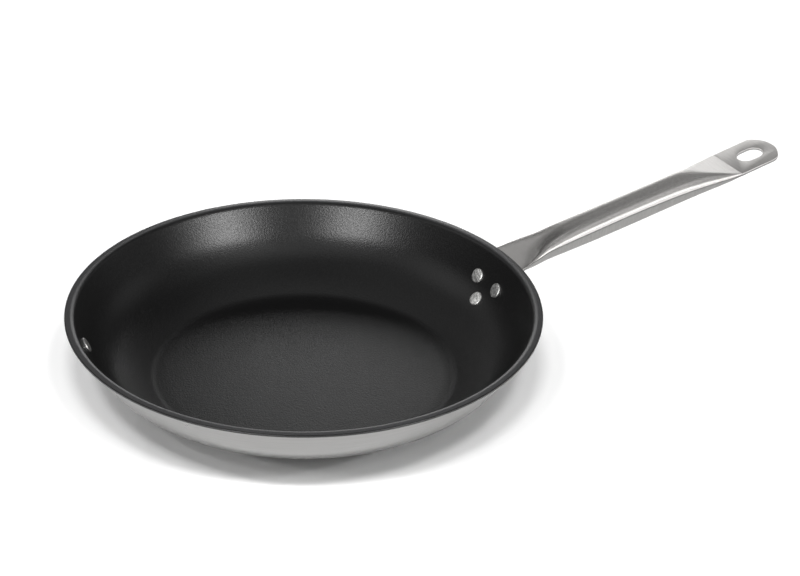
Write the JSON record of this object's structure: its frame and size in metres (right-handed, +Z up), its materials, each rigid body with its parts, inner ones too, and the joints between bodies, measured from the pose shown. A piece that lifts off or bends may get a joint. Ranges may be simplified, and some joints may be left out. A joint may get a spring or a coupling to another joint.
{
  "type": "omelette pan",
  "caption": "Shallow round frying pan with a black non-stick inside, a flared pouring lip and a long hollow steel handle with a hanging slot.",
  "frame": {"origin": "centre of the flat underside of the base, on the pan's axis of revolution", "axes": "+Z up out of the bowl, +X along the handle from the pan to the hanging slot, +Y across"},
  "size_m": [0.5126, 0.3, 0.0937],
  "materials": {
    "pan_steel": "fine circular satin polish on stainless steel",
    "coating": "fine-grained semi-matte black non-stick coating",
    "core": "plain, hidden in the base",
    "base_steel": "satin stainless steel",
    "handle_steel": "lengthwise satin polish on stainless steel",
    "rivet": "dull, lightly worn heads"
  },
  "bodies": {
    "root": {"pan_shell": "pan_steel", "nonstick_coating": "coating", "base_core": "core", "base_cap": "base_steel", "handle_upper_shell": "handle_steel", "handle_lower_shell": "handle_steel", "rivet_upper_far": "rivet", "rivet_upper_near": "rivet", "rivet_lower": "rivet", "side_rivet": "rivet"}
  },
  "joints": []
}
